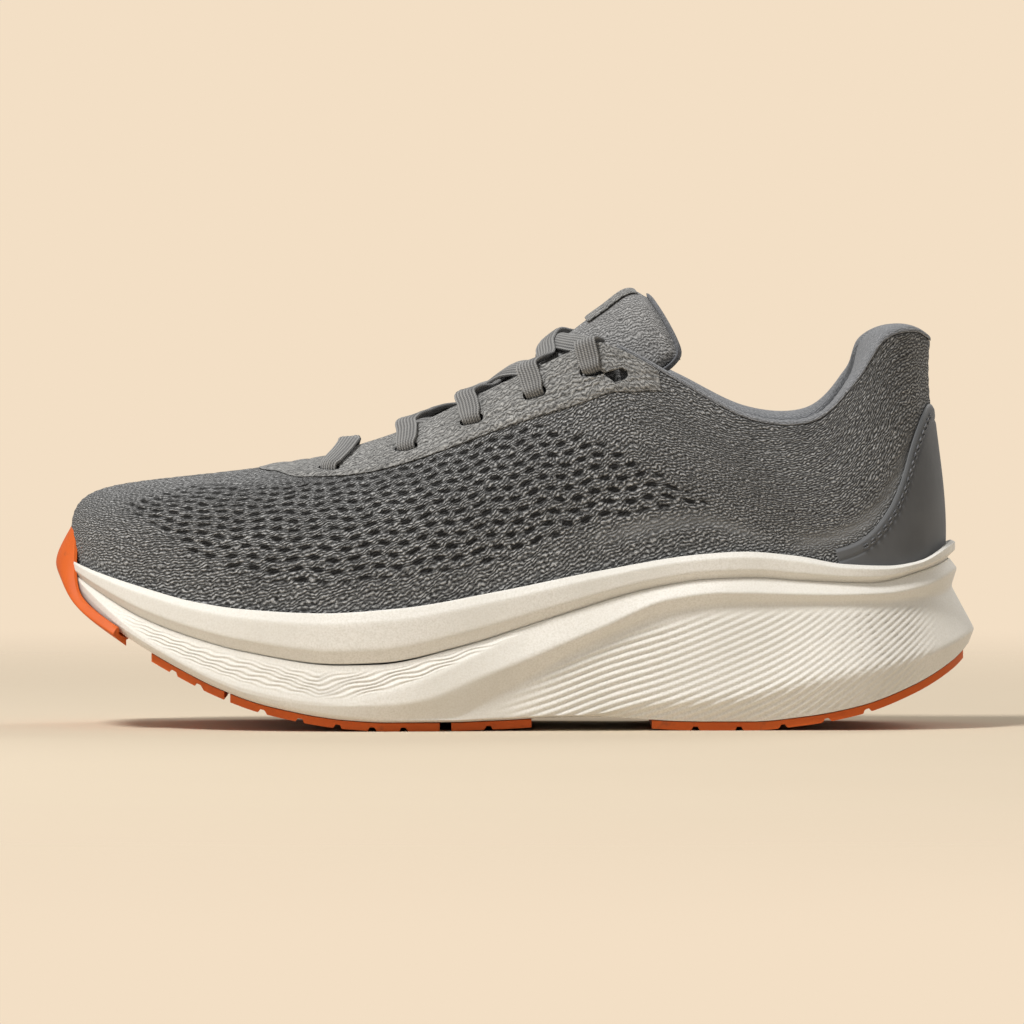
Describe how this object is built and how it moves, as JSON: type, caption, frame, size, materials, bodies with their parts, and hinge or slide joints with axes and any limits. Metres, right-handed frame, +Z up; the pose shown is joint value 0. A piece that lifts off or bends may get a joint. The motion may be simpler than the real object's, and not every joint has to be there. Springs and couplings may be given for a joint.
{
  "type": "running shoe",
  "caption": "Left cushioned running shoe with a thick rockered foam midsole, knitted upper, padded collar and tongue, flat lace and treaded rubber outsole.",
  "frame": {"origin": "on the floor, under the middle of the shoe's bounding box", "axes": "+X from the toe to the heel, -Y the outer (lateral) side, +Z up"},
  "size_m": [0.2979, 0.1086, 0.1415],
  "materials": {
    "midsole_foam": "fine-grained moulded foam",
    "outsole_rubber": "matte moulded rubber",
    "upper_knit": "engineered knit",
    "tongue_knit": "knit",
    "overlay_film": "satin fused film",
    "heel_panel": "satin synthetic, stitched",
    "lining_knit": "smooth lining",
    "binding_tape": "edge tape",
    "backing_fabric": "non-woven",
    "stiffener_board": "moulded sheet",
    "padding_foam": "open foam",
    "lace_weave": "flat weave, ribbed lengthwise",
    "aglet_plastic": "clear-coated tip"
  },
  "bodies": {
    "shoe": {"midsole_top_layer": "midsole_foam", "midsole_carrier": "midsole_foam", "outsole_toe_wrap": "outsole_rubber", "outsole_forefoot_lateral_1": "outsole_rubber", "outsole_forefoot_lateral_2": "outsole_rubber", "outsole_forefoot_lateral_3": "outsole_rubber", "outsole_forefoot_medial_1": "outsole_rubber", "outsole_forefoot_medial_2": "outsole_rubber", "outsole_forefoot_medial_3": "outsole_rubber", "outsole_heel_lateral": "outsole_rubber", "outsole_heel_medial": "outsole_rubber", "strobel_board": "backing_fabric", "knit_upper": "upper_knit", "heel_counter": "stiffener_board", "toe_puff": "stiffener_board", "collar_foam_lateral": "padding_foam", "collar_foam_medial": "padding_foam", "collar_lining": "lining_knit", "eyestay_backing": "backing_fabric", "eyestay_overlay": "overlay_film", "heel_panel": "heel_panel", "tongue_lower_face": "tongue_knit", "tongue_lower_foam": "padding_foam", "tongue_lower_lining": "lining_knit", "shoelace": "lace_weave", "aglet_lateral": "aglet_plastic", "aglet_medial": "aglet_plastic"},
    "tongue_flap": {"tongue_flap_face": "tongue_knit", "tongue_flap_foam": "padding_foam", "tongue_flap_lining": "lining_knit", "tongue_flap_binding": "binding_tape", "tongue_flap_panel": "overlay_film"},
    "sockliner": {"sockliner": "padding_foam", "sockliner_cover": "lining_knit"}
  },
  "joints": [
    {"name": "tongue_flap_bend", "type": "hinge", "parent": "shoe", "child": "tongue_flap", "pos_m": [0.0215, 0, 0.1305], "axis": [0, -1, 0], "range_deg": [0, 45], "stiffness_Nm_per_rad": 0.12},
    {"name": "sockliner_peel", "type": "hinge", "parent": "shoe", "child": "sockliner", "pos_m": [-0.137, 0, 0.0455], "axis": [0, -1, 0], "range_deg": [0, 3]}
  ]
}
